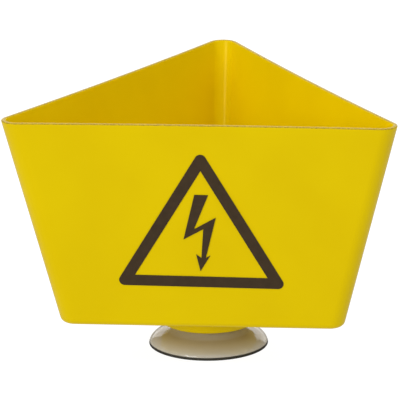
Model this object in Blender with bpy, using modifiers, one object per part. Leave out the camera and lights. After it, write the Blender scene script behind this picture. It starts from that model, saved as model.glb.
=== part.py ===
"""Three-sided warning sign on a suction cup.

The sign is an open tub moulded in yellow plastic, three-cornered in plan and
narrower at its floor, with a round well in the floor. A clear suction cup sits
under the well. A screw moulded into the crown of the cup stands up through the
well, where a washer and a nut hold it.

Metres, +Z up. The origin is on the ground, in the middle of the sign's plan.
The front wall looks towards -Y.
"""
import math

import bmesh
import bpy
from mathutils import Vector

# The tub. A side of its plan is measured between sharp corners.
RIM_SIDE = 0.240
FLOOR_SIDE = 0.176
WALL_HEIGHT = 0.1255
WALL = 0.0025
RIM_CORNER = 0.0096
FLOOR_CORNER = 0.0084
RIM_BOW = 0.0017
RIM_ROUNDING = 0.0009
FLOOR_INNER_FILLET = 0.0011

# The well in the floor of the tub.
WELL_TOP_RADIUS = 0.0295
WELL_BASE_RADIUS = 0.0288
WELL_DEPTH = 0.0116
WELL_LIP_FILLET = 0.0012
WELL_INNER_FILLET = 0.0006

# The suction cup.
CUP_RADIUS = 0.035
CUP_LIP = 0.0012
HOLLOW_DEPTH = 0.0074
BOSS_RADIUS = 0.012
BOSS_RISE = 0.0005
CROWN_COVER = 0.0018

# The screw, washer and nut, an M6 set.
SCREW_RADIUS = 0.003
SCREW_END_CHAMFER = 0.0006
SCREW_PROUD = 0.0025
HEAD_RADIUS = 0.008
HEAD_THICKNESS = 0.002
WASHER_RADIUS = 0.009
WASHER_THICKNESS = 0.0016
NUT_SIDES = 6
NUT_FLATS = 0.010
NUT_HEIGHT = 0.005
NUT_CHAMFER_ANGLE = math.radians(30)

# Clearance between pieces that touch.
SEAT_GAP = 0.0003

# How finely the curved forms are divided.
CORNER_STEPS = 8
SIDE_STEPS = 12
WALL_STEPS = 6
FILLET_STEPS = 5
RIM_STEPS = 3
DOME_STEPS = 12
CUP_TURN_STEPS = 60
SMALL_TURN_STEPS = 32

# Edges sharper than this are drawn as edges, and only the rim's are sharper than the second.
SHARP_EDGE_ANGLE = math.radians(35)
RIM_EDGE_ANGLE = math.radians(60)

# How far a cutter reaches past what it cuts, and how near two points are to be one.
CUT_MARGIN = 0.002
MERGE_DISTANCE = 0.00001

# Heights above the ground, from the cup upwards.
POCKET_BASE_Z = HOLLOW_DEPTH + CROWN_COVER
HEAD_BASE_Z = POCKET_BASE_Z + SEAT_GAP
HEAD_TOP_Z = HEAD_BASE_Z + HEAD_THICKNESS
POCKET_TOP_Z = HEAD_TOP_Z + SEAT_GAP
BOSS_TOP_Z = POCKET_TOP_Z + CROWN_COVER
WELL_BASE_Z = BOSS_TOP_Z + SEAT_GAP
FLOOR_Z = WELL_BASE_Z + WELL_DEPTH
RIM_Z = FLOOR_Z + WALL_HEIGHT
WASHER_BASE_Z = WELL_BASE_Z + WALL + SEAT_GAP
NUT_BASE_Z = WASHER_BASE_Z + WASHER_THICKNESS + SEAT_GAP
SCREW_TOP_Z = NUT_BASE_Z + NUT_HEIGHT + SCREW_PROUD
HOLE_RADIUS = SCREW_RADIUS + SEAT_GAP

# The plan is a triangle whose first corner is the front left one.
CORNER_COUNT = 3
CORNER_TURN = math.tau / CORNER_COUNT
FIRST_CORNER = math.radians(210)

# A wall's distance from the upright axis, at the rim and at the floor.
APOTHEM_PER_SIDE = 1 / (2 * math.sqrt(3))
RIM_APOTHEM = RIM_SIDE * APOTHEM_PER_SIDE
FLOOR_APOTHEM = FLOOR_SIDE * APOTHEM_PER_SIDE

# The axis of the cup lies forward of the middle of the plan box, because the
# back corner is further from the axis than the front wall is.
BACK_REACH = 2 * RIM_APOTHEM - RIM_CORNER
AXIS_Y = -(BACK_REACH - RIM_APOTHEM) / 2


def clear_scene():
    """Remove whatever the file holds."""
    for obj in list(bpy.data.objects):
        bpy.data.objects.remove(obj, do_unlink=True)


def make_collection(name):
    """A new collection in the scene."""
    collection = bpy.data.collections.new(name)
    bpy.context.scene.collection.children.link(collection)
    return collection


def make_material(name, color, roughness, metallic=0.0, alpha=1.0):
    """A Principled material."""
    material = bpy.data.materials.new(name)
    material.use_nodes = True
    shader = material.node_tree.nodes["Principled BSDF"]
    shader.inputs["Base Color"].default_value = (*color, 1.0)
    shader.inputs["Roughness"].default_value = roughness
    shader.inputs["Metallic"].default_value = metallic
    shader.inputs["Alpha"].default_value = alpha
    return material


def make_object(name, mesh, collection, axis, material=None):
    """An object for a mesh, placed on the upright axis."""
    obj = bpy.data.objects.new(name, mesh)
    collection.objects.link(obj)
    obj.parent = axis
    if material:
        mesh.materials.append(material)
    return obj


def mesh_from_bmesh(name, bm):
    """Turn a bmesh into a mesh with smooth shading between its sharp edges."""
    mesh = bpy.data.meshes.new(name)
    bm.to_mesh(mesh)
    bm.free()
    mesh.shade_smooth()
    mesh.set_sharp_from_angle(angle=SHARP_EDGE_ANGLE)
    return mesh


def arc(center, radius, start, end, steps):
    """Points on an arc in the plane of a section, from one angle to another."""
    angles = [start + (end - start) * i / steps for i in range(steps + 1)]
    return [(center[0] + radius * math.cos(a), center[1] + radius * math.sin(a)) for a in angles]


def ellipse_arc(width, height, inner_radius=0.0):
    """Points on an ellipse, from a distance off the axis near its top down to its foot."""
    start = math.acos(inner_radius / width)
    angles = [start * (1 - i / DOME_STEPS) for i in range(DOME_STEPS + 1)]
    return [(width * math.cos(a), height * math.sin(a)) for a in angles]


def round_corner(before, corner, after, radius):
    """Points on the arc that rounds one corner of a section."""
    corner = Vector(corner)
    to_before = (Vector(before) - corner).normalized()
    to_after = (Vector(after) - corner).normalized()
    half = to_before.angle(to_after) / 2
    center = corner + (to_before + to_after).normalized() * radius / math.sin(half)
    first = corner + to_before * radius / math.tan(half) - center
    last = corner + to_after * radius / math.tan(half) - center
    turn = first.angle_signed(last)
    start = math.atan2(first.y, first.x)
    return arc(center, radius, start, start - turn, FILLET_STEPS)


def plan_outline(apothem, corner, bow):
    """Plan of the tub: a triangle with rounded corners and sides drawn in by the bow."""
    points = []
    corner_distance = 2 * (apothem - corner)
    half_length = math.sqrt(3) * (apothem - corner)
    for index in range(CORNER_COUNT):
        toward = FIRST_CORNER + index * CORNER_TURN
        before = toward - CORNER_TURN / 2
        after = toward + CORNER_TURN / 2
        center = (corner_distance * math.cos(toward), corner_distance * math.sin(toward))
        points += [Vector(p) for p in arc(center, corner, before, after, CORNER_STEPS)]

        outward = Vector((math.cos(after), math.sin(after)))
        along = Vector((-outward.y, outward.x))
        for step in range(1, SIDE_STEPS):
            share = step / SIDE_STEPS
            depth = apothem - bow * 4 * share * (1 - share)
            points.append(outward * depth + along * half_length * (2 * share - 1))
    return points


def circle_outline(radius, count):
    """As many points as the plan has, on a circle, in the same order."""
    step = math.tau / count
    start = FIRST_CORNER - step * CORNER_STEPS / 2
    angles = [start + step * i for i in range(count)]
    return [Vector((radius * math.cos(a), radius * math.sin(a))) for a in angles]


def tub_rings():
    """Outer skin of the tub as closed rings, from the rim down to the middle of the well."""
    wall_run = RIM_APOTHEM - FLOOR_APOTHEM
    floor_edge = (FLOOR_APOTHEM, FLOOR_Z)
    well_top = (WELL_TOP_RADIUS, FLOOR_Z)
    well_base = (WELL_BASE_RADIUS, WELL_BASE_Z)
    wall_foot = round_corner((RIM_APOTHEM, RIM_Z), floor_edge, well_top, FLOOR_INNER_FILLET + WALL)
    well_lip = round_corner(floor_edge, well_top, well_base, WELL_LIP_FILLET)
    well_foot = round_corner(well_top, well_base, (0, WELL_BASE_Z), WELL_INNER_FILLET + WALL)

    tangent = wall_foot[0]
    wall = []
    for step in range(WALL_STEPS):
        share = step / WALL_STEPS
        wall.append((
            RIM_APOTHEM + (tangent[0] - RIM_APOTHEM) * share,
            RIM_Z + (tangent[1] - RIM_Z) * share,
        ))

    rings = []
    for apothem, z in wall + wall_foot:
        height = (z - FLOOR_Z) / WALL_HEIGHT
        inset = FLOOR_APOTHEM + wall_run * height - apothem
        corner = FLOOR_CORNER + (RIM_CORNER - FLOOR_CORNER) * height - inset
        outline = plan_outline(apothem, corner, RIM_BOW * height ** 2)
        rings.append([(p.x, p.y, z) for p in outline])
    for radius, z in well_lip + well_foot:
        outline = circle_outline(radius, len(rings[0]))
        rings.append([(p.x, p.y, z) for p in outline])
    return rings


def build_sign_body(collection, cutters, axis, material):
    """The tub: its outer skin lofted, thickened inwards, rounded at the rim and bored for the screw."""
    bm = bmesh.new()
    rows = [[bm.verts.new(point) for point in ring] for ring in tub_rings()]
    for upper, lower in zip(rows, rows[1:]):
        for i in range(len(upper)):
            j = (i + 1) % len(upper)
            bm.faces.new((upper[i], lower[i], lower[j], upper[j]))
    bm.faces.new(list(reversed(rows[-1])))
    mesh = mesh_from_bmesh("sign_body", bm)
    body = make_object("sign_body", mesh, collection, axis, material)

    shell = body.modifiers.new("wall", "SOLIDIFY")
    shell.thickness = WALL
    shell.offset = -1
    shell.use_even_offset = True
    rim = body.modifiers.new("rim_rounding", "BEVEL")
    rim.width = RIM_ROUNDING
    rim.segments = RIM_STEPS
    rim.limit_method = "ANGLE"
    rim.angle_limit = RIM_EDGE_ANGLE

    depth = WALL + 2 * CUT_MARGIN
    bore = cylinder_mesh("screw_hole", HOLE_RADIUS, WELL_BASE_Z - CUT_MARGIN, depth)
    cut(body, make_cutter(bore, cutters, axis), "DIFFERENCE")


def cylinder_mesh(name, radius, base_z, height, sides=SMALL_TURN_STEPS):
    """An upright cylinder or prism on the axis."""
    bm = bmesh.new()
    bmesh.ops.create_cone(
        bm, cap_ends=True, segments=sides, radius1=radius, radius2=radius, depth=height
    )
    bmesh.ops.translate(bm, verts=bm.verts, vec=(0, 0, base_z + height / 2))
    return mesh_from_bmesh(name, bm)


def make_cutter(mesh, cutters, axis):
    """A shape that is only used to cut another."""
    cutter = make_object(mesh.name, mesh, cutters, axis)
    cutter.hide_render = True
    cutter.display_type = "WIRE"
    return cutter


def cut(obj, cutter, operation):
    """Add an exact Boolean."""
    modifier = obj.modifiers.new(cutter.name, "BOOLEAN")
    modifier.operation = operation
    modifier.solver = "EXACT"
    modifier.object = cutter


def turned(name, profile, collection, axis, material=None, closed=False, steps=SMALL_TURN_STEPS):
    """A turned piece. Its profile runs down the outer side."""
    bm = bmesh.new()
    verts = [bm.verts.new((radius, 0, z)) for radius, z in profile]
    for first, second in zip(verts, verts[1:]):
        bm.edges.new((first, second))
    if closed:
        bm.edges.new((verts[-1], verts[0]))
    mesh = bpy.data.meshes.new(name)
    bm.to_mesh(mesh)
    bm.free()
    obj = make_object(name, mesh, collection, axis, material)
    screw = obj.modifiers.new("turn", "SCREW")
    screw.axis = "Z"
    screw.steps = steps
    screw.render_steps = steps
    screw.use_merge_vertices = True
    screw.merge_threshold = MERGE_DISTANCE
    screw.use_smooth_shade = True
    return obj


def build_suction_cup(collection, axis, material):
    """The cup: a domed disc, hollow below, with a pocket in its crown for the screw's head."""
    pocket_radius = HEAD_RADIUS + SEAT_GAP
    pocket = [
        (0, POCKET_BASE_Z),
        (pocket_radius, POCKET_BASE_Z),
        (pocket_radius, POCKET_TOP_Z),
        (HOLE_RADIUS, POCKET_TOP_Z),
        (HOLE_RADIUS, BOSS_TOP_Z),
        (BOSS_RADIUS, BOSS_TOP_Z),
    ]
    dome = ellipse_arc(CUP_RADIUS, BOSS_TOP_Z - BOSS_RISE, BOSS_RADIUS)
    hollow = ellipse_arc(CUP_RADIUS - CUP_LIP, HOLLOW_DEPTH)
    hollow.reverse()
    turned("suction_cup", pocket + dome + hollow, collection, axis, material, steps=CUP_TURN_STEPS)


def build_cup_screw(collection, axis, material):
    """The screw: a flat round head in the cup and a shank that ends above the nut."""
    profile = [
        (0, SCREW_TOP_Z),
        (SCREW_RADIUS - SCREW_END_CHAMFER, SCREW_TOP_Z),
        (SCREW_RADIUS, SCREW_TOP_Z - SCREW_END_CHAMFER),
        (SCREW_RADIUS, HEAD_TOP_Z),
        (HEAD_RADIUS, HEAD_TOP_Z),
        (HEAD_RADIUS, HEAD_BASE_Z),
        (0, HEAD_BASE_Z),
    ]
    turned("cup_screw", profile, collection, axis, material)


def build_washer(collection, axis, material):
    """The flat washer on the floor of the well."""
    washer_top = WASHER_BASE_Z + WASHER_THICKNESS
    profile = [
        (HOLE_RADIUS, washer_top),
        (WASHER_RADIUS, washer_top),
        (WASHER_RADIUS, WASHER_BASE_Z),
        (HOLE_RADIUS, WASHER_BASE_Z),
    ]
    turned("washer", profile, collection, axis, material, closed=True)


def build_nut(collection, cutters, axis, material):
    """The hexagon nut, with the corners of both faces turned off at an angle."""
    corner_radius = NUT_FLATS / 2 / math.cos(math.pi / NUT_SIDES)
    mesh = cylinder_mesh("nut", corner_radius, NUT_BASE_Z, NUT_HEIGHT, sides=NUT_SIDES)
    nut = make_object("nut", mesh, collection, axis, material)

    face_radius = NUT_FLATS / 2
    wide_radius = corner_radius + CUT_MARGIN
    drop = (wide_radius - face_radius) * math.tan(NUT_CHAMFER_ANGLE)
    top = NUT_BASE_Z + NUT_HEIGHT
    blank_profile = [
        (0, top),
        (face_radius, top),
        (wide_radius, top - drop),
        (wide_radius, NUT_BASE_Z + drop),
        (face_radius, NUT_BASE_Z),
        (0, NUT_BASE_Z),
    ]
    blank = turned("nut_blank", blank_profile, cutters, axis)
    blank.hide_render = True
    blank.display_type = "WIRE"
    cut(nut, blank, "INTERSECT")

    bore = cylinder_mesh("nut_bore", HOLE_RADIUS, NUT_BASE_Z - CUT_MARGIN, NUT_HEIGHT + 2 * CUT_MARGIN)
    cut(nut, make_cutter(bore, cutters, axis), "DIFFERENCE")


def main():
    clear_scene()
    sign = make_collection("warning_sign")
    cutters = make_collection("cutters")

    axis = bpy.data.objects.new("cup_axis", None)
    sign.objects.link(axis)
    axis.location = (0, AXIS_Y, 0)

    yellow = make_material("yellow_plastic", (0.75, 0.54, 0.005), 0.35)
    clear = make_material("clear_pvc", (0.72, 0.70, 0.62), 0.15, alpha=0.5)
    zinc = make_material("zinc_plated_steel", (0.60, 0.61, 0.62), 0.30, metallic=1.0)

    build_sign_body(sign, cutters, axis, yellow)
    build_suction_cup(sign, axis, clear)
    build_cup_screw(sign, axis, zinc)
    build_washer(sign, axis, zinc)
    build_nut(sign, cutters, axis, zinc)


main()
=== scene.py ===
"""Looks of a three-sided warning sign on a clear suction cup, laid out as a Blender add-on.

The sign is an open tub moulded in yellow ABS, with a printed triangle and a bolt
on each wall. A clear PVC suction cup is held under its well by a zinc-plated
screw, washer and nut. Metres, +Z up, the front wall towards -Y.
"""
import math
from functools import partial

import bmesh
import bpy
from bpy.props import FloatProperty, FloatVectorProperty, IntProperty, PointerProperty
from mathutils import Matrix, Vector


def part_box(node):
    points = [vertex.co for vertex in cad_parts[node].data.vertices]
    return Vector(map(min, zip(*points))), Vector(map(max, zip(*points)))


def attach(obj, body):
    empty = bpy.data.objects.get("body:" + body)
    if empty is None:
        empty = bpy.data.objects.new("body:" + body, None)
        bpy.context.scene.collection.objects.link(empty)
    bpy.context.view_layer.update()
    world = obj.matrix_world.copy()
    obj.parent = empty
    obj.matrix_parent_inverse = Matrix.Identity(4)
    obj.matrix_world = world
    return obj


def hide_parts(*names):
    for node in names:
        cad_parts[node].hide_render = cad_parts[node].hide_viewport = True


bl_info = {
    "name": "Warning Sign on a Suction Cup",
    "version": (1, 0, 0),
    "blender": (4, 5, 0),
    "location": "3D View > Sidebar > Warning Sign",
    "description": "Builds the looks of a three-sided warning sign on a clear suction cup",
    "category": "Add Mesh",
}

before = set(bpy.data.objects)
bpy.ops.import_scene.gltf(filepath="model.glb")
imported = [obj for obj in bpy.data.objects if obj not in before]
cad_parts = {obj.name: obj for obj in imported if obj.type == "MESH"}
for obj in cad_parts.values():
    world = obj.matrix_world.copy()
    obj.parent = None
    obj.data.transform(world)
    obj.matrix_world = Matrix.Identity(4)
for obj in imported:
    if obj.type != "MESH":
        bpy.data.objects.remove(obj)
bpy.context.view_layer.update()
BODY = "root"

# Places that the frame gives.
SIGN_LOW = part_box("sign_body")[0]
CUP_LOW, CUP_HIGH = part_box("suction_cup")
SCREW_LOW, SCREW_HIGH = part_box("cup_screw")
WASHER_LOW, WASHER_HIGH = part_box("washer")
NUT_LOW, NUT_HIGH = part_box("nut")
AXIS_Y = (CUP_LOW.y + CUP_HIGH.y) / 2

# Plan of the tub: a triangle whose first corner is the front left one.
CORNER_COUNT = 3
CORNER_TURN = math.tau / CORNER_COUNT
FRONT_WALL = math.radians(270)
APOTHEM_PER_SIDE = 1 / (2 * math.sqrt(3))

# A wave texture repeats once in this many of its own units, at a scale of 1.
WAVE_UNITS = math.tau / 20

# A noise texture seldom leaves the wide one of these ranges. The narrow one gives it more contrast.
WIDE_NOISE = {"From Min": 0.3, "From Max": 0.7}
NARROW_NOISE = {"From Min": 0.35, "From Max": 0.65}

# Names of the walls' sizes, as the trees take them.
WALL_SIZES = (
    "Floor Apothem", "Rim Apothem", "Floor Height", "Wall Height", "Floor Corner", "Rim Corner", "Rim Bow",
    "Axis Y",
)

# The trimmed edge takes in this share of the rim's rounding.
TRIMMED_SHARE = 0.6

# Steps along the dome of the cup, and the flats and chamfers of the nut.
DOME_STEPS = 40
SIXTH_TURN = math.tau / 6
CHAMFER_SLOPE = math.radians(30)

# Marks on the points of a section, which the trees read.
TRIM = "trim"
THREAD = "thread"
HEX = "hex"
LIP = "lip"

# Kinds of node that the trees use most.
MATH = "ShaderNodeMath"
VECTOR_MATH = "ShaderNodeVectorMath"
SAMPLE = "GeometryNodeSampleIndex"
MIX = "ShaderNodeMix"
RANGE = "ShaderNodeMapRange"
NOISE = "ShaderNodeTexNoise"
BUMP = "ShaderNodeBump"

SHARP_EDGE = math.radians(35)
MERGE_DISTANCE = 0.00001

# The photograph's frame, in pixels, and where its optical centre lies.
PHOTO_SIZE = 400
OPTICAL_CENTRE = (207.8, 212.1)

# The studio's soft boxes: side, place and width. Their powers are settings.
SOFT_BOXES = (
    ("left", (-1.35, -2.35, 1.0), 1.0),
    ("top", (0.0, 0.1, 2.2), 3.6),
    ("back", (0.0, 2.6, 0.7), 3.4),
)


def linear_from_hex(text):
    """The linear colour of an sRGB hex value."""
    shares = [int(text[i:i + 2], 16) / 255 for i in (0, 2, 4)]
    return [s / 12.92 if s <= 0.04045 else ((s + 0.055) / 1.055) ** 2.4 for s in shares]


def length(name, description, default):
    """A length that the sidebar shows in the scene's units."""
    return FloatProperty(
        name=name, description=description, default=default, min=0.0, precision=5,
        subtype="DISTANCE", unit="LENGTH",
    )


def bearing(name, description, degrees):
    """An angle, given here in degrees."""
    return FloatProperty(
        name=name, description=description, default=math.radians(degrees), subtype="ANGLE", unit="ROTATION"
    )


def amount(name, description, default, least=0.0):
    """A plain number, with the least that it may be."""
    return FloatProperty(name=name, description=description, default=default, min=least)


def whole(name, description, default, least):
    """A whole number, with the least that it may be."""
    return IntProperty(name=name, description=description, default=default, min=least)


def colour(name, description, text):
    """A colour whose default is an sRGB hex value."""
    return FloatVectorProperty(
        name=name, description=description, default=linear_from_hex(text), min=0.0, max=1.0, size=3,
        subtype="COLOR",
    )


class TubSettings(bpy.types.PropertyGroup):
    """Sizes and colours of the yellow tub. A side of its plan is measured between sharp corners."""

    rim_side: length("Rim side", "Side of the plan at the rim", 0.240)
    floor_side: length("Floor side", "Side of the plan at the floor", 0.176)
    wall_height: length("Wall height", "From the floor's underside to the rim's outer edge", 0.1255)
    wall: length("Wall", "Thickness of the plastic", 0.0025)
    rim_corner: length("Rim corner", "Outer radius of an upright corner at the rim", 0.0096)
    floor_corner: length("Floor corner", "Outer radius of an upright corner at the floor", 0.0084)
    rim_bow: length("Rim bow", "How far the middle of each side is drawn in at the rim", 0.0017)
    rim_rounding: length("Rim rounding", "Radius of both edges of the rim", 0.0009)
    floor_fillet: length("Floor fillet", "Inner radius between wall and floor", 0.0011)
    well_top_radius: length("Well top radius", "Outer radius of the well at the floor", 0.0295)
    well_base_radius: length("Well base radius", "Outer radius of the well at its base", 0.0288)
    well_depth: length("Well depth", "Depth of the well under the floor", 0.0116)
    well_lip_fillet: length("Well lip fillet", "Radius between the well and the floor's underside", 0.0012)
    well_inner_fillet: length("Well inner fillet", "Radius inside the base of the well", 0.0006)
    hole_radius: length("Hole radius", "Radius of the hole for the screw", 0.0033)
    hole_edge: length("Hole edge", "Radius of the edges of the hole", 0.00015)
    corner_steps: whole("Corner steps", "Columns round a corner", 14, 2)
    side_steps: whole("Side steps", "Columns along a side", 40, 2)
    body_colour: colour("Body colour", "Colour of the moulded plastic", "DCBF00")
    deep_colour: colour("Flow mark colour", "Colour of the faint flow marks", "D9BB00")
    # Partly painted shade: the trim colour is darker than the cut edge, so that the top soft box doesn't
    # light the rim pale.
    trim_and_shade_colour: colour("Trimmed rim colour", "Colour of the trimmed edge of the rim", "826B24")


class PrintSettings(bpy.types.PropertyGroup):
    """Sizes and colour of the printed symbol, measured on the face of a wall."""

    side: length("Triangle side", "Outer side, between sharp corners", 0.0996)
    band: length("Band", "Width of the band", 0.0067)
    corner_radius: length("Corner radius", "Outer radius of the band's corners", 0.0033)
    height: length("Height", "From the foot of the wall up to the middle of the triangle", 0.0549)
    across: length("Across", "Offset of the symbol to the right", 0.0007)
    turn: bearing("Turn", "How far the symbol leans, anticlockwise", -0.54)
    ink_height: length("Ink height", "How far the ink stands proud of the wall", 0.00004)
    ink_root: length("Ink root", "How far the ink reaches into the wall", 0.0001)
    divisions: whole("Divisions", "Times that the ink's faces are halved", 3, 0)
    ink_colour: colour("Ink colour", "Colour of the ink", "3C2D1A")


class CupSettings(bpy.types.PropertyGroup):
    """Sizes and colours of the clear suction cup."""

    lip: length("Lip", "Width of the flat lip on the ground", 0.0012)
    lip_edge: length("Lip edge", "Radius of both edges of the lip", 0.0004)
    hollow_depth: length("Hollow depth", "Height of the hollow under the cup", 0.0074)
    boss_radius: length("Boss radius", "Radius of the raised boss on the crown", 0.012)
    boss_rise: length("Boss rise", "Height of the boss over the dome", 0.0005)
    boss_edge: length("Boss edge", "Radius of the boss's edge", 0.0002)
    steps: whole("Steps", "Columns round the cup", 144, 12)
    through_colour: colour("Through colour", "Tint of the light that falls through the cup", "CFC5B0")
    skirt_colour: colour("Skirt colour", "Tint of the thin plastic near the lip", "DDD8CC")
    # Partly painted shade: besides the thicker plastic, the flank colour darkens the dome in place of the
    # tub's shaded underside mirrored there.
    flank_colour: colour("Flank colour", "Tint of the thick plastic on the dome", "C4B79B")
    depth_colour: colour("Depth colour", "Tint that grows with the plastic's depth", "A88F5C")
    # Painted highlight: the crown colour whitens the crown in place of the light that the dome mirrors
    # there.
    crown_highlight_colour: colour("Crown colour", "Milky bloom where the well presses on the crown", "FFFFFF")
    # Painted shade: the lip colour darkens the edge, up to the lip height, in place of the dark contact seen
    # through it.
    lip_shade_colour: colour("Lip colour", "Colour of the thin edge, which gathers dust", "24221A")
    lip_height: length("Lip height", "Height of the dusty edge", 0.0016)
    skirt_height: length("Skirt height", "Height up to which the plastic is thin", 0.002)
    flank_height: length("Flank height", "Height from which the plastic is thick", 0.008)
    # These heights set where the crown's painted highlight begins and where it is full.
    highlight_foot: length("Bloom foot", "Height at which the milky bloom begins", 0.0088)
    highlight_height: length("Bloom height", "Height from which the milky bloom is full", 0.0112)


class FastenerSettings(bpy.types.PropertyGroup):
    """Sizes and colour of the M6 screw, washer and nut."""

    screw_radius: length("Screw radius", "Outer radius of the thread", 0.003)
    pitch: length("Pitch", "Pitch of the thread", 0.001)
    thread_depth: length("Thread depth", "Depth of the thread", 0.00061)
    thread_gap: length("Thread gap", "Clearance between the threads of screw and nut", 0.00004)
    screw_chamfer: length("Screw chamfer", "Chamfer at the end of the screw", 0.0006)
    head_radius: length("Head radius", "Radius of the screw's flat head", 0.008)
    head_thickness: length("Head thickness", "Thickness of the screw's flat head", 0.002)
    washer_radius: length("Washer radius", "Outer radius of the washer", 0.009)
    washer_hole: length("Washer hole", "Radius of the washer's hole", 0.0033)
    nut_flats: length("Nut across flats", "Width of the nut across its flats", 0.010)
    nut_face: length("Nut face radius", "Radius of the round face left by the nut's chamfer", 0.0048)
    nut_countersink: length("Nut countersink", "Depth of the countersinks in the nut", 0.0005)
    edge: length("Edge", "Radius of the small edges", 0.00015)
    rows_per_pitch: whole("Rows per pitch", "Rows in one turn of the thread", 10, 4)
    steps: whole("Steps", "Columns round each piece, in whole sixths", 72, 12)
    zinc_colour: colour("Zinc colour", "Colour of the zinc plating", "989B9D")
    passivation_colour: colour("Passivation colour", "Faint tint of the passivated zinc", "9D9889")


class StageSettings(bpy.types.PropertyGroup):
    """Camera, lights and floor."""

    azimuth: bearing("Azimuth", "Camera's turn to the right of straight ahead", 4.651)
    elevation: bearing("Elevation", "Camera's angle over the horizon", 16.633)
    roll: bearing("Roll", "Camera's roll", -0.360)
    distance: length("Distance", "From the camera to the point that it turns about", 2.629)
    aim_height: length("Aim height", "Height of that point on the upright axis", 0.080)
    lens: amount("Lens", "Focal length in millimetres", 405.0, 1.0)
    sensor: amount("Sensor", "Width of the sensor in millimetres", 36.0, 1.0)
    floor_reach: length("Floor reach", "Half the width of the floor", 6.0)
    floor_drop: length("Floor drop", "How far the floor lies under the lip of the cup", 0.0001)
    floor_colour: colour("Floor colour", "Colour of the opal floor, apart from its glow", "606060")
    floor_glow: amount("Floor glow", "Glow that lights the sign from below", 0.7)
    floor_sheen: amount("Floor sheen", "Glow that the gloss of the sign mirrors", 0.35)
    floor_white: amount("Floor white", "Glow that the camera sees", 0.95)
    world_colour: colour("World colour", "Colour of the room's own light", "FFFFFF")
    world_strength: amount("World strength", "Strength of the room's light", 0.5)
    left_power: amount("Left power", "Power of the left soft box in watts", 27.0)
    top_power: amount("Top power", "Power of the top soft box in watts", 84.0)
    back_power: amount("Back power", "Power of the soft box behind in watts", 42.0)


class WarningSignSettings(bpy.types.PropertyGroup):
    """All settings of the warning sign."""

    tub: PointerProperty(type=TubSettings)
    print: PointerProperty(type=PrintSettings)
    cup: PointerProperty(type=CupSettings)
    fasteners: PointerProperty(type=FastenerSettings)
    stage: PointerProperty(type=StageSettings)


def feed(node, inputs):
    """Link or set a node's inputs, given by key or in their order. A node stands for its first output."""
    for key, value in inputs.items() if isinstance(inputs, dict) else enumerate(inputs):
        if isinstance(value, bpy.types.Node):
            value = value.outputs[0]
        if isinstance(value, bpy.types.NodeSocket):
            node.id_data.links.new(value, node.inputs[key])
        else:
            node.inputs[key].default_value = value


def add_node(tree, kind, inputs=(), operation=None, **settings):
    """Add a node with its inputs, its operation if it has one, and its settings."""
    node = tree.nodes.new(kind)
    if operation:
        node.operation = operation
    for name, value in settings.items():
        setattr(node, name, value)
    feed(node, inputs)
    return node


def new_tree(name, floats, counts):
    """A geometry tree, the adder of its nodes, and its inputs: a mesh, numbers, counts and a material."""
    tree = bpy.data.node_groups.new(name, "GeometryNodeTree")
    kinds = {"Geometry": "Geometry", **dict.fromkeys(floats, "Float"), **dict.fromkeys(counts, "Int")}
    for title, kind in {**kinds, "Material": "Material"}.items():
        tree.interface.new_socket(title, in_out="INPUT", socket_type="NodeSocket" + kind)
    tree.interface.new_socket("Geometry", in_out="OUTPUT", socket_type="NodeSocketGeometry")
    add = partial(add_node, tree)
    return tree, add, add("NodeGroupInput").outputs


def end_tree(add, geometry, material):
    """End a tree: instances made real, shaded smooth, with its material."""
    real = add("GeometryNodeRealizeInstances", {0: geometry})
    smooth = add("GeometryNodeSetShadeSmooth", {0: real})
    painted = add("GeometryNodeSetMaterial", {0: smooth, "Material": material})
    add("NodeGroupOutput", {0: painted})


def run_tree(obj, tree, values):
    """Run a tree on an object and keep its result as the object's plain mesh."""
    modifier = obj.modifiers.new(tree.name, "NODES")
    modifier.node_group = tree
    for item in tree.interface.items_tree:
        if item.in_out == "INPUT" and item.name in values:
            modifier[item.identifier] = values[item.name]
    keep_evaluated(obj)


def keep_evaluated(obj):
    """Turn an object's evaluated shape into its plain mesh, without modifiers."""
    bpy.context.view_layer.update()
    evaluated = obj.evaluated_get(bpy.context.evaluated_depsgraph_get())
    mesh = bpy.data.meshes.new_from_object(evaluated)
    mesh.name = obj.name
    if mesh.materials[0] is None:
        mesh.materials.pop(index=0)
    obj.modifiers.clear()
    obj.data = mesh
    mesh.set_sharp_from_angle(angle=SHARP_EDGE)


def unroll_section(add, given, columns, closing_rows, names):
    """A flat grid with a row for each point of the section.

    Gives its mesh and, for each vertex, the column that it is in, the distance
    and height of its point, and the named marks of that point.
    """
    section = given["Geometry"]
    size = add("GeometryNodeAttributeDomainSize", {0: section}, component="MESH")
    rows = size.outputs["Point Count"]
    grid_rows = add(MATH, (rows, closing_rows), "ADD")
    grid_columns = add(MATH, (columns, 1.0), "ADD")
    grid = add("GeometryNodeMeshGrid", {"Vertices X": grid_columns, "Vertices Y": grid_rows})
    index = add("GeometryNodeInputIndex")
    share = add(MATH, (index, grid_rows), "DIVIDE")
    column = add(MATH, {0: share}, "FLOOR")
    grid_row = add(MATH, (index, grid_rows), "FLOORED_MODULO")
    row = add(MATH, (grid_row, rows), "FLOORED_MODULO")
    position = add("GeometryNodeInputPosition")
    point = add(SAMPLE, {0: section, "Value": position, "Index": row}, data_type="FLOAT_VECTOR")
    place = add("ShaderNodeSeparateXYZ", {0: point}).outputs
    marks = {}
    for name in names:
        mark = add("GeometryNodeInputNamedAttribute", {"Name": name}, data_type="FLOAT")
        marks[name] = add(SAMPLE, {0: section, "Value": mark, "Index": row}, data_type="FLOAT")
    return grid.outputs["Mesh"], column, place["X"], place["Z"], marks


def close_grid(add, grid, name, mark, place, material):
    """Keep a mark on the flat grid, bend it to its places, weld its seams and end the tree."""
    marked = add(
        "GeometryNodeStoreNamedAttribute", {0: grid, "Name": name, "Value": mark},
        data_type="FLOAT", domain="POINT",
    )
    placed = add("GeometryNodeSetPosition", {0: marked, "Position": place})
    outward = add("GeometryNodeFlipFaces", {0: placed})
    welded = add("GeometryNodeMergeByDistance", {0: outward, "Distance": MERGE_DISTANCE})
    end_tree(add, welded, material)


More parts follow.
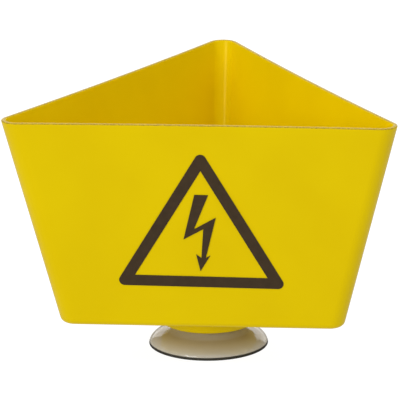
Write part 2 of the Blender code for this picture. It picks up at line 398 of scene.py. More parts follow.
def wall_at(add, given, rise):
    """The outer face of a wall, at a rise over the floor: its apothem, corner radius and full bow."""
    share = add(MATH, (rise, given["Wall Height"]), "DIVIDE")
    apothem, corner = (
        add(MIX, {0: share, 2: given["Floor " + size], 3: given["Rim " + size]}, clamp_factor=False)
        for size in ("Apothem", "Corner")
    )
    squared = add(MATH, (share, 2.0), "POWER")
    bow = add(MATH, (squared, given["Rim Bow"]), "MULTIPLY")
    return apothem, corner, bow


def loft_tree():
    """Tree that carries a section round the tub's plan.

    A point of the section is its distance from the axis and its height. A point
    of the plan is (distance - radius) * sharp + (radius - bow) * normal, where
    sharp runs round a sharp triangle of unit size and normal is the way out.
    Where the distance is less than the well's reach, the plan is a circle.
    """
    tree, add, given = new_tree(
        "loft_round_plan", (*WALL_SIZES, "Well Reach"), ("Corner Steps", "Side Steps")
    )
    corner_steps, side_steps = given["Corner Steps"], given["Side Steps"]
    third_steps = add(MATH, (corner_steps, side_steps), "ADD")
    columns = add(MATH, (third_steps, float(CORNER_COUNT)), "MULTIPLY")
    grid, column, distance, height, marks = unroll_section(add, given, columns, 1.0, [TRIM])

    # The directions of this column: along the arc of a corner, then along a side.
    third_share = add(MATH, (column, third_steps), "DIVIDE")
    third = add(MATH, {0: third_share}, "FLOOR")
    step = add(MATH, (column, third_steps), "FLOORED_MODULO")
    arc_share = add(MATH, (step, corner_steps), "DIVIDE", use_clamp=True)
    side_step = add(MATH, (step, corner_steps), "SUBTRACT")
    side_share = add(MATH, (side_step, side_steps), "DIVIDE", use_clamp=True)
    side_angle = add(MATH, (third, CORNER_TURN, FRONT_WALL), "MULTIPLY_ADD")
    arc_left = add(MATH, (1.0, arc_share), "SUBTRACT")
    arc_turn = add(MATH, (arc_left, CORNER_TURN), "MULTIPLY")
    normal_angle = add(MATH, (side_angle, arc_turn), "SUBTRACT")
    along = add(MATH, (side_share, 2 * math.sqrt(3), -math.sqrt(3)), "MULTIPLY_ADD")
    flat_sharp = add("ShaderNodeCombineXYZ", {"X": 1.0, "Y": along})

    # The same column on a circle, for the well.
    half_corner = add(MATH, (corner_steps, 2.0), "DIVIDE")
    round_step = add(MATH, (column, half_corner), "SUBTRACT")
    round_share = add(MATH, (round_step, columns), "DIVIDE")
    first_corner = FRONT_WALL - CORNER_TURN / 2
    round_angle = add(MATH, (round_share, math.tau, first_corner), "MULTIPLY_ADD")
    flat_round = add("ShaderNodeCombineXYZ", {"X": distance})
    unit_x = (1.0, 0.0, 0.0)
    normal, sharp, circle = (
        add("ShaderNodeVectorRotate", {"Vector": flat, "Angle": angle}, rotation_type="Z_AXIS")
        for flat, angle in ((unit_x, normal_angle), (flat_sharp, side_angle), (flat_round, round_angle))
    )

    # Corner radius and bow of this row, from its height on the wall.
    rise = add(MATH, (height, given["Floor Height"]), "SUBTRACT")
    outer, outer_radius, row_bow = wall_at(add, given, rise)
    inset = add(MATH, (outer, distance), "SUBTRACT")
    radius = add(MATH, (outer_radius, inset), "SUBTRACT")
    share_left = add(MATH, (1.0, side_share), "SUBTRACT")
    hump = add(MATH, (side_share, share_left), "MULTIPLY")
    full_hump = add(MATH, (hump, 4.0), "MULTIPLY")
    bow = add(MATH, (row_bow, full_hump), "MULTIPLY")
    sharp_distance = add(MATH, (distance, radius), "SUBTRACT")
    normal_distance = add(MATH, (radius, bow), "SUBTRACT")
    sharp_part = add(VECTOR_MATH, {0: sharp, "Scale": sharp_distance}, "SCALE")
    normal_part = add(VECTOR_MATH, {0: normal, "Scale": normal_distance}, "SCALE")
    plan = add(VECTOR_MATH, (sharp_part, normal_part), "ADD")

    in_well = add(MATH, (distance, given["Well Reach"]), "LESS_THAN")
    outline = add(MIX, {0: in_well, 4: plan, 5: circle}, data_type="VECTOR")
    upright = add("ShaderNodeCombineXYZ", {"Y": given["Axis Y"], "Z": height})
    place = add(VECTOR_MATH, (outline.outputs[1], upright), "ADD")
    close_grid(add, grid, TRIM, marks[TRIM], place, given["Material"])
    return tree


def print_tree():
    """Tree that lays a flat print on the front wall, raises its ink, and repeats it on every wall."""
    sizes = "Print Height", "Print Across", "Print Turn", "Ink Height", "Ink Root"
    tree, add, given = new_tree("lay_print_on_walls", (*WALL_SIZES, *sizes), ("Divisions",))
    fine = add("GeometryNodeSubdivideMesh", {0: given["Geometry"], "Level": given["Divisions"]})
    flat = add("GeometryNodeInputPosition")
    turned = add(
        "ShaderNodeVectorRotate", {"Vector": flat, "Angle": given["Print Turn"]}, rotation_type="Z_AXIS"
    )
    on_face = add("ShaderNodeSeparateXYZ", {0: turned}).outputs
    across = add(MATH, (on_face["X"], given["Print Across"]), "ADD")
    up_face = add(MATH, (on_face["Y"], given["Print Height"]), "ADD")

    # A distance up the face is longer than its height, because the wall leans out.
    lean = add(MATH, (given["Rim Apothem"], given["Floor Apothem"]), "SUBTRACT")
    lean_angle = add(MATH, (lean, given["Wall Height"]), "ARCTAN2")
    upright_share = add(MATH, {0: lean_angle}, "COSINE")
    rise = add(MATH, (up_face, upright_share), "MULTIPLY")
    apothem, corner, row_bow = wall_at(add, given, rise)
    straight = add(MATH, (apothem, corner), "SUBTRACT")
    half_length = add(MATH, (straight, math.sqrt(3)), "MULTIPLY")
    signed_share = add(MATH, (across, half_length), "DIVIDE")
    share_squared = add(MATH, (signed_share, 2.0), "POWER")
    hump = add(MATH, (1.0, share_squared), "SUBTRACT")
    bow = add(MATH, (row_bow, hump), "MULTIPLY")
    depth = add(MATH, (apothem, bow), "SUBTRACT")
    root = add(MATH, (given["Ink Root"], depth), "SUBTRACT")
    height = add(MATH, (rise, given["Floor Height"]), "ADD")
    place = add("ShaderNodeCombineXYZ", {"X": across, "Y": root, "Z": height})
    laid = add("GeometryNodeSetPosition", {0: fine, "Position": place})

    # The ink is a thin solid: its back turned over, and its face raised.
    ink = add(MATH, (given["Ink Height"], given["Ink Root"]), "ADD")
    raised = add("GeometryNodeExtrudeMesh", {
        0: laid, "Offset": (0.0, -1.0, 0.0), "Offset Scale": ink, "Individual": False
    })
    back = add("GeometryNodeFlipFaces", {0: laid})
    both = add("GeometryNodeJoinGeometry", {0: raised})
    feed(both, {0: back})
    solid = add("GeometryNodeMergeByDistance", {0: both, "Distance": MERGE_DISTANCE})

    middle = add("ShaderNodeCombineXYZ", {"Y": given["Axis Y"]})
    walls = add("GeometryNodeMeshLine", {
        "Count": CORNER_COUNT, "Start Location": middle, "Offset": (0, 0, 0)
    })
    wall = add("GeometryNodeInputIndex")
    wall_turn = add(MATH, (wall, CORNER_TURN), "MULTIPLY")
    rotation = add("ShaderNodeCombineXYZ", {"Z": wall_turn})
    copies = add("GeometryNodeInstanceOnPoints", {0: walls, "Instance": solid, "Rotation": rotation})
    end_tree(add, copies, given["Material"])
    return tree


def turn_tree():
    """Tree that turns a section about the upright axis.

    Rows marked as thread are cut in by a helical groove. Rows marked as hex take
    the outline of a hexagon, and their height follows the cone of its chamfer:
    plus one is the upper edge of the hexagon and minus one the lower.
    """
    sizes = "Pitch", "Thread Depth", "Flats", "Face Radius", "Axis Y"
    tree, add, given = new_tree("turn_section", sizes, ("Steps", "Closed"))
    grid, column, distance, height, marks = unroll_section(
        add, given, given["Steps"], given["Closed"], [THREAD, HEX, LIP]
    )
    turn = add(MATH, (column, given["Steps"]), "DIVIDE")
    angle = add(MATH, (turn, math.tau), "MULTIPLY")

    # Depth of the groove: none on the crest and full at the root, with a flat on both.
    crest_flat, root_flat = 1 / 8, 1 / 4
    pitches = add(MATH, (height, given["Pitch"]), "DIVIDE")
    climb = add(MATH, (pitches, turn), "SUBTRACT")
    swing = add(MATH, (climb, 0.5), "PINGPONG")
    groove = add(RANGE, {"Value": swing, "From Min": crest_flat / 2, "From Max": (1 - root_flat) / 2})
    carve = add(MATH, (groove, given["Thread Depth"]), "MULTIPLY")
    cut = add(MATH, (carve, marks[THREAD]), "MULTIPLY")
    turned_radius = add(MATH, (distance, cut), "SUBTRACT")

    # The hexagon's own radius at this angle, and the drop of the chamfer's cone there.
    in_sixth = add(MATH, (angle, SIXTH_TURN), "FLOORED_MODULO")
    off_flat = add(MATH, (in_sixth, SIXTH_TURN / 2), "SUBTRACT")
    flat_cosine = add(MATH, {0: off_flat}, "COSINE")
    apothem = add(MATH, (given["Flats"], 2.0), "DIVIDE")
    hex_radius = add(MATH, (apothem, flat_cosine), "DIVIDE")
    past_face = add(MATH, (hex_radius, given["Face Radius"]), "SUBTRACT")
    cone_drop = add(MATH, (past_face, math.tan(CHAMFER_SLOPE)), "MULTIPLY")
    drop = add(MATH, (cone_drop, marks[HEX]), "MULTIPLY")
    is_hex = add(MATH, {0: marks[HEX]}, "ABSOLUTE")
    radius = add(MIX, {0: is_hex, 2: turned_radius, 3: hex_radius})
    row_height = add(MATH, (height, drop), "SUBTRACT")

    flat = add("ShaderNodeCombineXYZ", {"X": radius, "Z": row_height})
    spun = add("ShaderNodeVectorRotate", {"Vector": flat, "Angle": angle}, rotation_type="Z_AXIS")
    middle = add("ShaderNodeCombineXYZ", {"Y": given["Axis Y"]})
    place = add(VECTOR_MATH, (spun, middle), "ADD")
    close_grid(add, grid, LIP, marks[LIP], place, given["Material"])
    return tree


def arc(centre, radius, start, end, steps, rise=None):
    """Points on an arc from one angle to another. With a rise of its own, it is an ellipse's."""
    angles = [start + (end - start) * i / steps for i in range(steps + 1)]
    rise = rise or radius
    return [(centre[0] + radius * math.cos(a), centre[1] + rise * math.sin(a)) for a in angles]


def round_corner(before, corner, after, radius, steps):
    """Points on the arc that rounds one corner of a line."""
    corner = Vector(corner)
    to_before = (Vector(before) - corner).normalized()
    to_after = (Vector(after) - corner).normalized()
    half = to_before.angle(to_after) / 2
    centre = corner + (to_before + to_after).normalized() * radius / math.sin(half)
    first = corner + to_before * radius / math.tan(half) - centre
    last = corner + to_after * radius / math.tan(half) - centre
    turn = first.angle_signed(last)
    start = math.atan2(first.y, first.x)
    return arc(centre, radius, start, start - turn, steps)


def rounded_line(corners, steps, margin=0.0003):
    """A closed line through corners, each (x, y, radius). Long straights get a point near each end."""
    arcs = []
    for i, (x, y, radius) in enumerate(corners):
        before, after = corners[i - 1][:2], corners[(i + 1) % len(corners)][:2]
        arcs.append(round_corner(before, (x, y), after, radius, steps) if radius else [(x, y)])
    points = []
    for i, bend in enumerate(arcs):
        points += bend
        start, end = Vector(bend[-1]), Vector(arcs[(i + 1) % len(arcs)][0])
        span = (end - start).length
        if span > 3 * margin:
            points += [tuple(start.lerp(end, margin / span)), tuple(end.lerp(start, margin / span))]
    return points


def section_object(name, points, marks=None, closed=True):
    """A line of points, each (distance from the axis, height), as a mesh that the trees take in."""
    bm = bmesh.new()
    verts = [bm.verts.new((x, 0, z)) for x, z in points]
    for first, second in zip(verts, verts[1:]):
        bm.edges.new((first, second))
    if closed:
        bm.edges.new((verts[-1], verts[0]))
    mesh = bpy.data.meshes.new(name)
    bm.to_mesh(mesh)
    bm.free()
    for title, values in (marks or {}).items():
        mesh.attributes.new(title, "FLOAT", "POINT").data.foreach_set("value", values)
    obj = bpy.data.objects.new(name, mesh)
    bpy.context.scene.collection.objects.link(obj)
    return obj


def join_frame(obj, slot, *nodes):
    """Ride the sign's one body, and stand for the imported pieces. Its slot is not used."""
    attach(obj, BODY)
    if nodes:
        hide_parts(*nodes)


def new_material(name):
    """A material, the adder of its nodes, its Principled shader, and object coordinates in metres."""
    material = bpy.data.materials.new(name)
    material.use_nodes = True
    add = partial(add_node, material.node_tree)
    place = add("ShaderNodeTexCoord").outputs["Object"]
    return material, add, material.node_tree.nodes["Principled BSDF"], place


def moulded_yellow_abs(tub):
    """ABS, injection moulded in a finely blasted tool, with a trimmed rim.

    The eye sees an even satin yellow, and a thin brown line where the knife went. That brown is partly
    the cut edge and partly painted shade, which keeps the top soft box from lighting the rim pale.
    """
    material, add, shader, place = new_material("moulded_yellow_abs")

    # Flow marks about 45 mm across, hardly darker than the rest.
    flow = add(NOISE, {"Vector": place, "Scale": 1 / 0.045, "Detail": 2.0})
    faint = add(RANGE, {"Value": flow, **NARROW_NOISE})

    # The knife leaves streaks about 0.8 mm apart on the trimmed rim.
    trim = add("ShaderNodeAttribute", attribute_name=TRIM).outputs["Fac"]
    streaks = add(NOISE, {"Vector": place, "Scale": 1 / 0.0008, "Detail": 1.0})
    scraped = add(RANGE, {"Value": streaks, **WIDE_NOISE, "To Min": 0.55, "To Max": 1.0})
    trimmed = add(MATH, (trim, scraped), "MULTIPLY")
    # The trimmed rim's brown is partly the cut edge and partly painted shade against the top soft box.
    paint = (*tub.body_colour, 1)
    for share, over in ((faint, tub.deep_colour), (trimmed, tub.trim_and_shade_colour)):
        paint = add(MIX, {0: share, 6: paint, 7: (*over, 1)}, data_type="RGBA").outputs[2]

    # Gloss wanders a little over 12 mm, and the rim is duller.
    patches = add(NOISE, {"Vector": place, "Scale": 1 / 0.012, "Detail": 3.0})
    satin = add(RANGE, {"Value": patches, **WIDE_NOISE, "To Min": 0.2, "To Max": 0.27})
    rough = add(MATH, (trimmed, 0.2, satin), "MULTIPLY_ADD", use_clamp=True)

    # The tool's blasted grain is finer than 0.1 mm. It is drawn at 0.7 mm, so that a close view shows it.
    grain = add(NOISE, {"Vector": place, "Scale": 1 / 0.0007, "Detail": 2.0})
    relief = add(BUMP, {"Strength": 0.12, "Distance": 0.00004, "Height": grain})

    # The wide walls sank a little as they cooled, in waves about 22 mm long.
    waves = add(NOISE, {"Vector": place, "Scale": 1 / 0.022, "Detail": 1.0})
    surface = add(BUMP, {"Strength": 0.25, "Distance": 0.0003, "Height": waves, "Normal": relief})
    feed(shader, {
        "Base Color": paint, "Roughness": rough, "Normal": surface,
        "IOR": 1.5, "Specular IOR Level": 0.2, "Specular Tint": (1.0, 0.8, 0.2, 1),
    })
    return material


def screen_printed_ink(symbol):
    """Solvent ink, screen printed in one pass: a thin brownish black with a dull, faintly woven face."""
    material, add, shader, place = new_material("screen_printed_ink")
    mottle = add(NOISE, {"Vector": place, "Scale": 1 / 0.004, "Detail": 4.0})
    thin = add(RANGE, {"Value": mottle, **WIDE_NOISE, "To Min": 0.88, "To Max": 1.12})
    tint = add(VECTOR_MATH, {0: tuple(symbol.ink_colour), "Scale": thin}, "SCALE")
    rough = add(RANGE, {"Value": mottle, **WIDE_NOISE, "To Min": 0.42, "To Max": 0.55})

    # The screen's threads are 0.1 mm apart. They are drawn 0.5 mm apart, so that a close view shows them.
    across, upwards = (
        add("ShaderNodeTexWave", {"Vector": place, "Scale": WAVE_UNITS / 0.0005}, bands_direction=way)
        for way in "XZ"
    )
    weave = add(MATH, (across.outputs["Fac"], upwards.outputs["Fac"]), "ADD")
    relief = add(BUMP, {"Strength": 0.15, "Distance": 0.00003, "Height": weave})
    feed(shader, {"Base Color": tint, "Roughness": rough, "Normal": relief, "Specular IOR Level": 0.2})
    return material


def clear_moulded_pvc(cup):
    """Soft PVC, injection moulded: clear and glossy, with a brown tint in its depth and a handled surface.

    Lamps shine through it, so that what stands under it isn't in full shadow.
    """
    material, add, shader, place = new_material("clear_moulded_pvc")
    smears = add(NOISE, {"Vector": place, "Scale": 1 / 0.009, "Detail": 4.0})
    glossy = add(RANGE, {
        "Value": smears, "From Min": 0.35, "From Max": 0.7, "To Min": 0.06, "To Max": 0.14
    })
    ripples = add(NOISE, {"Vector": place, "Scale": 1 / 0.008, "Detail": 1.0})
    relief = add(BUMP, {"Strength": 0.6, "Distance": 0.0007, "Height": ripples})

    # Browner up the dome: partly the thicker plastic, partly painted shade for the tub's shaded underside
    # mirrored there. A painted highlight whitens the crown, and painted shade darkens the lip, which is also
    # made matt.
    height = add("ShaderNodeSeparateXYZ", {0: place}).outputs["Z"]
    thickness_and_shade = add(RANGE, {"Value": height, "From Min": cup.skirt_height, "From Max": cup.flank_height})
    crown_highlight = add(RANGE, {"Value": height, "From Min": cup.highlight_foot, "From Max": cup.highlight_height})
    lip = add("ShaderNodeAttribute", attribute_name=LIP).outputs["Fac"]
    tint = (*cup.skirt_colour, 1)
    for share, over in ((thickness_and_shade, cup.flank_colour), (crown_highlight, cup.crown_highlight_colour), (lip, cup.lip_shade_colour)):
        tint = add(MIX, {0: share, 6: tint, 7: (*over, 1)}, data_type="RGBA").outputs[2]
    rough = add(MIX, {0: lip, 2: glossy, 3: 0.8})
    feed(shader, {
        "Base Color": tint, "Roughness": rough, "Normal": relief, "IOR": 1.53, "Transmission Weight": 0.4
    })

    shadow = add("ShaderNodeLightPath").outputs["Is Shadow Ray"]
    through = add("ShaderNodeBsdfTransparent", {"Color": (*cup.through_colour, 1)})
    seen = add("ShaderNodeMixShader", (shadow, shader, through))
    depth = add("ShaderNodeVolumeAbsorption", {"Color": (*cup.depth_colour, 1), "Density": 15.0})
    feed(material.node_tree.nodes["Material Output"], {"Surface": seen, "Volume": depth})
    return material


def passivated_zinc_plating(fasteners):
    """Turned or stamped steel, zinc plated and passivated: pale grey with turning marks and a faint tint."""
    material, add, shader, place = new_material("passivated_zinc_plating")
    blooms = add(NOISE, {"Vector": place, "Scale": 1 / 0.003, "Detail": 3.0})
    share = add(RANGE, {"Value": blooms, **NARROW_NOISE})
    plated = add(MIX, {
        0: share, 6: (*fasteners.zinc_colour, 1), 7: (*fasteners.passivation_colour, 1)
    }, data_type="RGBA")
    rough = add(RANGE, {"Value": blooms, "To Min": 0.28, "To Max": 0.42})

    # Turning marks run round the upright axis, 0.25 mm apart.
    centred = add("ShaderNodeMapping", {"Vector": place, "Location": (0, -AXIS_Y, 0)})
    rings = add("ShaderNodeTexWave", {
        "Vector": centred, "Scale": WAVE_UNITS / 0.00025, "Distortion": 1.5, "Detail": 2.0
    }, wave_type="RINGS", rings_direction="Z")
    relief = add(BUMP, {"Strength": 0.2, "Distance": 0.00002, "Height": rings.outputs["Fac"]})
    feed(shader, {"Base Color": plated.outputs[2], "Roughness": rough, "Normal": relief, "Metallic": 1.0})
    return material


def opal_light_table(stage):
    """Opal acrylic over lamps: a plain white ground to the eye, and clear from below, to show the sign."""
    material, add, shader, place = new_material("opal_light_table")
    mottle = add(NOISE, {"Vector": place, "Scale": 1 / 0.05, "Detail": 2.0})
    share = add(RANGE, {"Value": mottle, "To Min": 0.985, "To Max": 1.0})
    tint = add(VECTOR_MATH, {0: tuple(stage.floor_colour), "Scale": share}, "SCALE")

    # The photograph's ground is cut out white. So the camera sees a whiter floor than the one that lights
    # the sign, and the sign's gloss mirrors a darker one.
    path = add("ShaderNodeLightPath").outputs
    sent = add(MIX, {0: path["Is Glossy Ray"], 2: stage.floor_glow, 3: stage.floor_sheen})
    glow = add(MIX, {0: path["Is Camera Ray"], 2: sent, 3: stage.floor_white})
    feed(shader, {
        "Base Color": tint, "Roughness": 0.9, "Specular IOR Level": 0.1,
        "Emission Color": (1, 1, 1, 1), "Emission Strength": glow,
    })
    below = add("ShaderNodeNewGeometry").outputs["Backfacing"]
    clear = add("ShaderNodeBsdfTransparent")
    seen = add("ShaderNodeMixShader", (below, shader, clear))
    feed(material.node_tree.nodes["Material Output"], {"Surface": seen})
    return material


def wall_values(tub):
    """The sizes of the tub's walls, by the names that the trees use."""
    return {
        "Floor Apothem": tub.floor_side * APOTHEM_PER_SIDE,
        "Rim Apothem": tub.rim_side * APOTHEM_PER_SIDE,
        "Floor Height": SIGN_LOW.z + tub.well_depth,
        "Wall Height": tub.wall_height,
        "Floor Corner": tub.floor_corner,
        "Rim Corner": tub.rim_corner,
        "Rim Bow": tub.rim_bow,
        "Axis Y": AXIS_Y,
    }


def tub_section(tub):
    """Section of the tub: down the outside, through the hole, up the inside. The trimmed rim is marked."""
    sizes = wall_values(tub)
    floor_apothem, rim_apothem = sizes["Floor Apothem"], sizes["Rim Apothem"]
    floor_z = sizes["Floor Height"]
    rim_z = floor_z + tub.wall_height
    base_z = SIGN_LOW.z
    lean = math.atan2(rim_apothem - floor_apothem, tub.wall_height)
    draft = math.atan2(tub.well_top_radius - tub.well_base_radius, tub.well_depth)

    rim = Vector((rim_apothem, rim_z))
    up_wall = Vector((math.sin(lean), math.cos(lean)))
    rim_inside = rim + Vector((-up_wall.y, up_wall.x)) * tub.wall
    wall_inset = tub.wall / math.cos(lean)
    floor_inside = floor_apothem + tub.wall * math.tan(lean) - wall_inset
    well_inset = tub.wall / math.cos(draft)
    well_inside_base = tub.well_base_radius + tub.wall * math.tan(draft) - well_inset
    well_inside_top = tub.well_top_radius + tub.wall * math.tan(draft) - well_inset
    corners = [
        (*rim, tub.rim_rounding),
        (floor_apothem, floor_z, tub.floor_fillet + tub.wall),
        (tub.well_top_radius, floor_z, tub.well_lip_fillet),
        (tub.well_base_radius, base_z, tub.well_inner_fillet + tub.wall),
        (tub.hole_radius, base_z, tub.hole_edge),
        (tub.hole_radius, base_z + tub.wall, tub.hole_edge),
        (well_inside_base, base_z + tub.wall, tub.well_inner_fillet),
        (well_inside_top, floor_z + tub.wall, tub.well_lip_fillet + tub.wall),
        (floor_inside, floor_z + tub.wall, tub.floor_fillet),
        (*rim_inside, tub.rim_rounding),
    ]
    points = rounded_line(corners, steps=8)
    cut_line = -tub.rim_rounding * TRIMMED_SHARE
    marks = [1.0 if (Vector(point) - rim).dot(up_wall) > cut_line else 0.0 for point in points]
    return points, {TRIM: marks}


def triangle_outline(side, corner_radius, steps=10):
    """An upright triangle about its middle, its corners rounded if the radius isn't zero."""
    reach = side / math.sqrt(3)
    turns = [math.radians(90) + i * CORNER_TURN for i in range(CORNER_COUNT)]
    corners = [(reach * math.cos(a), reach * math.sin(a)) for a in turns]
    if not corner_radius:
        return corners
    points = []
    for i, corner in enumerate(corners):
        after = corners[(i + 1) % CORNER_COUNT]
        points += round_corner(corners[i - 1], corner, after, corner_radius, steps)
    return points


def bolt_outline():
    """The bolt with its arrow head, in metres about the middle of the triangle."""
    millimetres = [
        (-3.6, 29.2), (4.3, 29.2), (-4.0, 7.6), (8.6, 15.3), (2.7, -10.3), (5.4, -8.6),
        (-0.4, -18.7), (-2.8, -8.1), (0.2, -10.4), (1.4, 7.9), (-10.0, 1.1),
    ]
    return [(x / 1000, y / 1000) for x, y in millimetres]


def flat_print(symbol):
    """The triangle's band and the bolt as one flat mesh, from a filled curve."""
    inner_side = symbol.side - 2 * math.sqrt(3) * symbol.band
    outlines = [
        triangle_outline(symbol.side, symbol.corner_radius),
        triangle_outline(inner_side, 0),
        bolt_outline(),
    ]
    curve = bpy.data.curves.new("symbol_outline", "CURVE")
    curve.dimensions = "2D"
    curve.fill_mode = "BOTH"
    for outline in outlines:
        spline = curve.splines.new("POLY")
        spline.points.add(len(outline) - 1)
        for spot, (x, y) in zip(spline.points, outline):
            spot.co = (x, y, 0, 1)
        spline.use_cyclic_u = True
    holder = bpy.data.objects.new("symbol_outline", curve)
    bpy.context.scene.collection.objects.link(holder)
    bpy.context.view_layer.update()
    mesh = bpy.data.meshes.new_from_object(holder.evaluated_get(bpy.context.evaluated_depsgraph_get()))
    bpy.data.objects.remove(holder)
    return mesh


def cup_section(cup, fasteners):
    """Section of the cup: down round the screw, over the dome to the lip, and back under the hollow."""
    radius = (CUP_HIGH.x - CUP_LOW.x) / 2
    inner = radius - cup.lip
    crown = CUP_HIGH.z
    dome = crown - cup.boss_rise
    pocket_top = SCREW_LOW.z + fasteners.head_thickness
    quarter = math.pi / 2
    boss, lip = cup.boss_edge, cup.lip_edge
    points = [
        (0, SCREW_LOW.z),
        (fasteners.head_radius, SCREW_LOW.z),
        (fasteners.head_radius, pocket_top),
        (fasteners.screw_radius, pocket_top),
        (fasteners.screw_radius, crown),
    ]
    points += arc((cup.boss_radius - boss, crown - boss), boss, quarter, 0, steps=4)
    start = math.acos(cup.boss_radius / radius)
    foot = math.asin(lip / dome)
    points += arc((0, 0), radius, start, foot, DOME_STEPS, rise=dome)
    points += arc((points[-1][0] - lip, lip), lip, 0, -quarter, steps=5)[1:]
    points += arc((inner + lip, lip), lip, -quarter, -math.pi, steps=5)
    foot = math.asin(lip / cup.hollow_depth)
    points += arc((0, 0), inner, foot, quarter, DOME_STEPS, rise=cup.hollow_depth)[1:]
    reach = radius - cup.lip / 2
    marks = [1.0 if x > reach and z < cup.lip_height else 0.0 for x, z in points]
    return points, {LIP: marks}


def thread_rows(radius, start, end, fasteners):
    """Rows along a threaded stretch, with their marks."""
    count = max(2, round(abs(end - start) / fasteners.pitch * fasteners.rows_per_pitch))
    return [(radius, start + (end - start) * i / count, 1.0) for i in range(count + 1)]


def screw_section(fasteners):
    """Section of the screw: down from its chamfered end, along the thread to the flat head."""
    radius = fasteners.screw_radius
    core = radius - fasteners.screw_chamfer
    head_top = SCREW_LOW.z + fasteners.head_thickness
    rows = [(0, SCREW_HIGH.z, 0.0), (core, SCREW_HIGH.z, 0.0)]
    first, last = SCREW_HIGH.z - fasteners.screw_chamfer, head_top + fasteners.pitch / 2
    rows += thread_rows(radius, first, last, fasteners)
    rows += [(radius - fasteners.thread_depth, head_top, 0.0)]
    head = fasteners.head_radius
    edge = fasteners.edge
    for z, start, end in ((head_top - edge, math.pi / 2, 0), (SCREW_LOW.z + edge, 0, -math.pi / 2)):
        rows += [(*point, 0.0) for point in arc((head - edge, z), edge, start, end, steps=3)]
    rows += [(0, SCREW_LOW.z, 0.0)]
    return [row[:2] for row in rows], {THREAD: [row[2] for row in rows]}


def washer_section(fasteners):
    """Section of the stamped washer, with rounded edges."""
    edge = fasteners.edge
    low, high = WASHER_LOW.z, WASHER_HIGH.z
    corners = [
        (fasteners.washer_hole, high, edge),
        (fasteners.washer_radius, high, 2 * edge),
        (fasteners.washer_radius, low, edge),
        (fasteners.washer_hole, low, edge),
    ]
    return rounded_line(corners, steps=4, margin=edge)


def nut_section(fasteners):
    """Section of the nut: over its top face, down the hexagon, under its base and up the threaded bore."""
    low, high = NUT_LOW.z, NUT_HIGH.z
    bore = fasteners.screw_radius + fasteners.thread_gap
    sink = fasteners.nut_countersink
    face = fasteners.nut_face
    rows = [(bore, high, 0.0, 0.0), (face, high, 0.0, 0.0), (face, high, 0.0, 1.0), (face, low, 0.0, -1.0)]
    rows += [(face, low, 0.0, 0.0), (bore, low, 0.0, 0.0)]
    rows += [(x, z, mark, 0.0) for x, z, mark in thread_rows(bore, low + sink, high - sink, fasteners)]
    return [row[:2] for row in rows], {THREAD: [row[2] for row in rows], HEX: [row[3] for row in rows]}


def turn_values(fasteners, material, steps, closed):
    """The values for one run of the turning tree."""
    return {
        "Pitch": fasteners.pitch, "Thread Depth": fasteners.thread_depth, "Flats": fasteners.nut_flats,
        "Face Radius": fasteners.nut_face, "Axis Y": AXIS_Y, "Steps": steps, "Closed": int(closed),
        "Material": material,
    }


def shared_tree(name, make):
    """A tree that several pieces use, made once."""
    return bpy.data.node_groups.get(name) or make()


class SIGN_OT_tub(bpy.types.Operator):
    """Make the yellow tub with its well"""

    bl_idname = "warning_sign.tub"
    bl_label = "Yellow Tub"

    def execute(self, context):
        tub = context.scene.warning_sign.tub
        points, marks = tub_section(tub)
        obj = section_object("yellow_tub", points, marks)
        sizes = wall_values(tub)
        run_tree(obj, loft_tree(), {
            **sizes,
            "Well Reach": (tub.well_top_radius + sizes["Floor Apothem"]) / 2,
            "Corner Steps": tub.corner_steps,
            "Side Steps": tub.side_steps,
            "Material": moulded_yellow_abs(tub),
        })
        join_frame(obj, "yellow_plastic", "sign_body")
        return {"FINISHED"}


class SIGN_OT_prints(bpy.types.Operator):
    """Print the triangle and bolt on the three walls"""

    bl_idname = "warning_sign.prints"
    bl_label = "Printed Symbols"

    def execute(self, context):
        settings = context.scene.warning_sign
        symbol = settings.print
        obj = bpy.data.objects.new("printed_symbols", flat_print(symbol))
        context.scene.collection.objects.link(obj)
        run_tree(obj, print_tree(), {
            **wall_values(settings.tub),
            "Print Height": symbol.height,
            "Print Across": symbol.across,
            "Print Turn": symbol.turn,
            "Ink Height": symbol.ink_height,
            "Ink Root": symbol.ink_root,
            "Divisions": symbol.divisions,
            "Material": screen_printed_ink(symbol),
        })
        join_frame(obj, "yellow_plastic")
        return {"FINISHED"}


class SIGN_OT_cup(bpy.types.Operator):
    """Make the clear suction cup"""

    bl_idname = "warning_sign.cup"
    bl_label = "Suction Cup"

    def execute(self, context):
        settings = context.scene.warning_sign
        cup, fasteners = settings.cup, settings.fasteners
        points, marks = cup_section(cup, fasteners)
        obj = section_object("clear_cup", points, marks, closed=False)
        tree = shared_tree("turn_section", turn_tree)
        run_tree(obj, tree, turn_values(fasteners, clear_moulded_pvc(cup), cup.steps, False))
        join_frame(obj, "clear_pvc", "suction_cup")
        return {"FINISHED"}


class SIGN_OT_fasteners(bpy.types.Operator):
    """Make the threaded screw, the washer and the nut"""

    bl_idname = "warning_sign.fasteners"
    bl_label = "Screw, Washer and Nut"

    def execute(self, context):
        fasteners = context.scene.warning_sign.fasteners
        tree = shared_tree("turn_section", turn_tree)
        material = passivated_zinc_plating(fasteners)
        screw_points, screw_marks = screw_section(fasteners)
        nut_points, nut_marks = nut_section(fasteners)
        for name, node, points, marks, closed in (
            ("threaded_screw", "cup_screw", screw_points, screw_marks, False),
            ("stamped_washer", "washer", washer_section(fasteners), None, True),
            ("hexagon_nut", "nut", nut_points, nut_marks, True),
        ):
            obj = section_object(name, points, marks, closed)
            run_tree(obj, tree, turn_values(fasteners, material, fasteners.steps, closed))
            join_frame(obj, "zinc_plated_steel", node)
        return {"FINISHED"}


class SIGN_OT_stage(bpy.types.Operator):
    """Make the floor, the studio lights and the camera"""

    bl_idname = "warning_sign.stage"
    bl_label = "Floor, Lights and Camera"

    def execute(self, context):
        stage = context.scene.warning_sign.stage
        make_floor(stage)
        make_lights(stage)
        make_camera(stage)
        context.scene.view_settings.view_transform = "Standard"
        return {"FINISHED"}


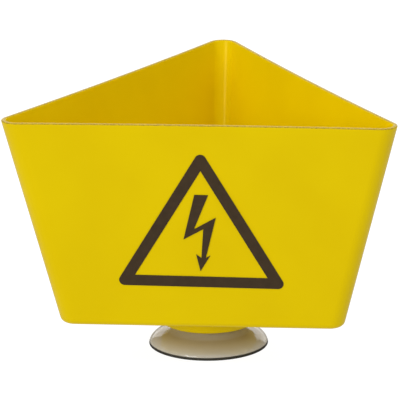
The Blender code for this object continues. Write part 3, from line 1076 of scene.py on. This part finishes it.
def make_floor(stage):
    """A plain pale floor, just under the lip of the cup."""
    bm = bmesh.new()
    bmesh.ops.create_grid(bm, x_segments=1, y_segments=1, size=stage.floor_reach)
    bmesh.ops.translate(bm, verts=bm.verts, vec=(0, 0, -stage.floor_drop))
    mesh = bpy.data.meshes.new("floor")
    bm.to_mesh(mesh)
    bm.free()
    mesh.materials.append(opal_light_table(stage))
    floor = bpy.data.objects.new("floor", mesh)
    bpy.context.scene.collection.objects.link(floor)


def make_lights(stage):
    """Soft boxes at the left, on top and behind, and the room's own even light."""
    world = bpy.data.worlds.new("studio")
    bpy.context.scene.world = world
    world.use_nodes = True
    feed(world.node_tree.nodes["Background"], {
        "Color": (*stage.world_colour, 1), "Strength": stage.world_strength
    })
    aim = Vector((0, AXIS_Y, stage.aim_height))
    for side, place, width in SOFT_BOXES:
        lamp = bpy.data.lights.new(side + "_soft_box", "AREA")
        lamp.shape = "SQUARE"
        lamp.size = width
        lamp.energy = getattr(stage, side + "_power")
        obj = bpy.data.objects.new(lamp.name, lamp)
        obj.location = place
        obj.rotation_euler = (Vector(place) - aim).to_track_quat("Z", "Y").to_euler()
        bpy.context.scene.collection.objects.link(obj)


def make_camera(stage):
    """The camera at the photograph's angle, with its slight roll."""
    swing, rise = stage.azimuth, stage.elevation
    back = Vector((math.sin(swing) * math.cos(rise), -math.cos(swing) * math.cos(rise), math.sin(rise)))
    level_right = Vector((math.cos(swing), math.sin(swing), 0))
    level_up = back.cross(level_right)
    right = level_right * math.cos(stage.roll) + level_up * math.sin(stage.roll)
    turn = Matrix((right, back.cross(right), back)).transposed().to_4x4()
    aim = Vector((0, AXIS_Y, stage.aim_height))

    data = bpy.data.cameras.new("camera")
    data.lens = stage.lens
    data.sensor_width = stage.sensor
    data.shift_x = (PHOTO_SIZE / 2 - OPTICAL_CENTRE[0]) / PHOTO_SIZE
    data.shift_y = (OPTICAL_CENTRE[1] - PHOTO_SIZE / 2) / PHOTO_SIZE
    data.clip_start = 0.1
    data.clip_end = 50.0
    camera = bpy.data.objects.new("camera", data)
    camera.matrix_world = Matrix.Translation(aim + back * stage.distance) @ turn
    bpy.context.scene.collection.objects.link(camera)
    bpy.context.scene.camera = camera


class SIGN_PT_panel(bpy.types.Panel):
    """Buttons and settings of the warning sign"""

    bl_idname = "SIGN_PT_panel"
    bl_label = "Warning Sign"
    bl_space_type = "VIEW_3D"
    bl_region_type = "UI"
    bl_category = "Warning Sign"

    def draw(self, context):
        settings = context.scene.warning_sign
        for group, operator in (
            ("tub", SIGN_OT_tub), ("print", SIGN_OT_prints), ("cup", SIGN_OT_cup),
            ("fasteners", SIGN_OT_fasteners), ("stage", SIGN_OT_stage),
        ):
            box = self.layout.box()
            box.operator(operator.bl_idname)
            values = getattr(settings, group)
            for title in values.bl_rna.properties.keys():
                if title not in {"rna_type", "name"}:
                    box.prop(values, title)


CLASSES = (
    TubSettings, PrintSettings, CupSettings, FastenerSettings, StageSettings, WarningSignSettings,
    SIGN_OT_tub, SIGN_OT_prints, SIGN_OT_cup, SIGN_OT_fasteners, SIGN_OT_stage, SIGN_PT_panel,
)


def register():
    """Register the classes and hang the settings on the scene."""
    for cls in CLASSES:
        bpy.utils.register_class(cls)
    bpy.types.Scene.warning_sign = PointerProperty(type=WarningSignSettings)


def unregister():
    """Take the settings and the classes away again."""
    del bpy.types.Scene.warning_sign
    for cls in reversed(CLASSES):
        bpy.utils.unregister_class(cls)


def main():
    """Build the whole sign."""
    register()
    bpy.ops.warning_sign.stage()
    bpy.ops.warning_sign.tub()
    bpy.ops.warning_sign.prints()
    bpy.ops.warning_sign.cup()
    bpy.ops.warning_sign.fasteners()


if __name__ == "__main__":
    main()
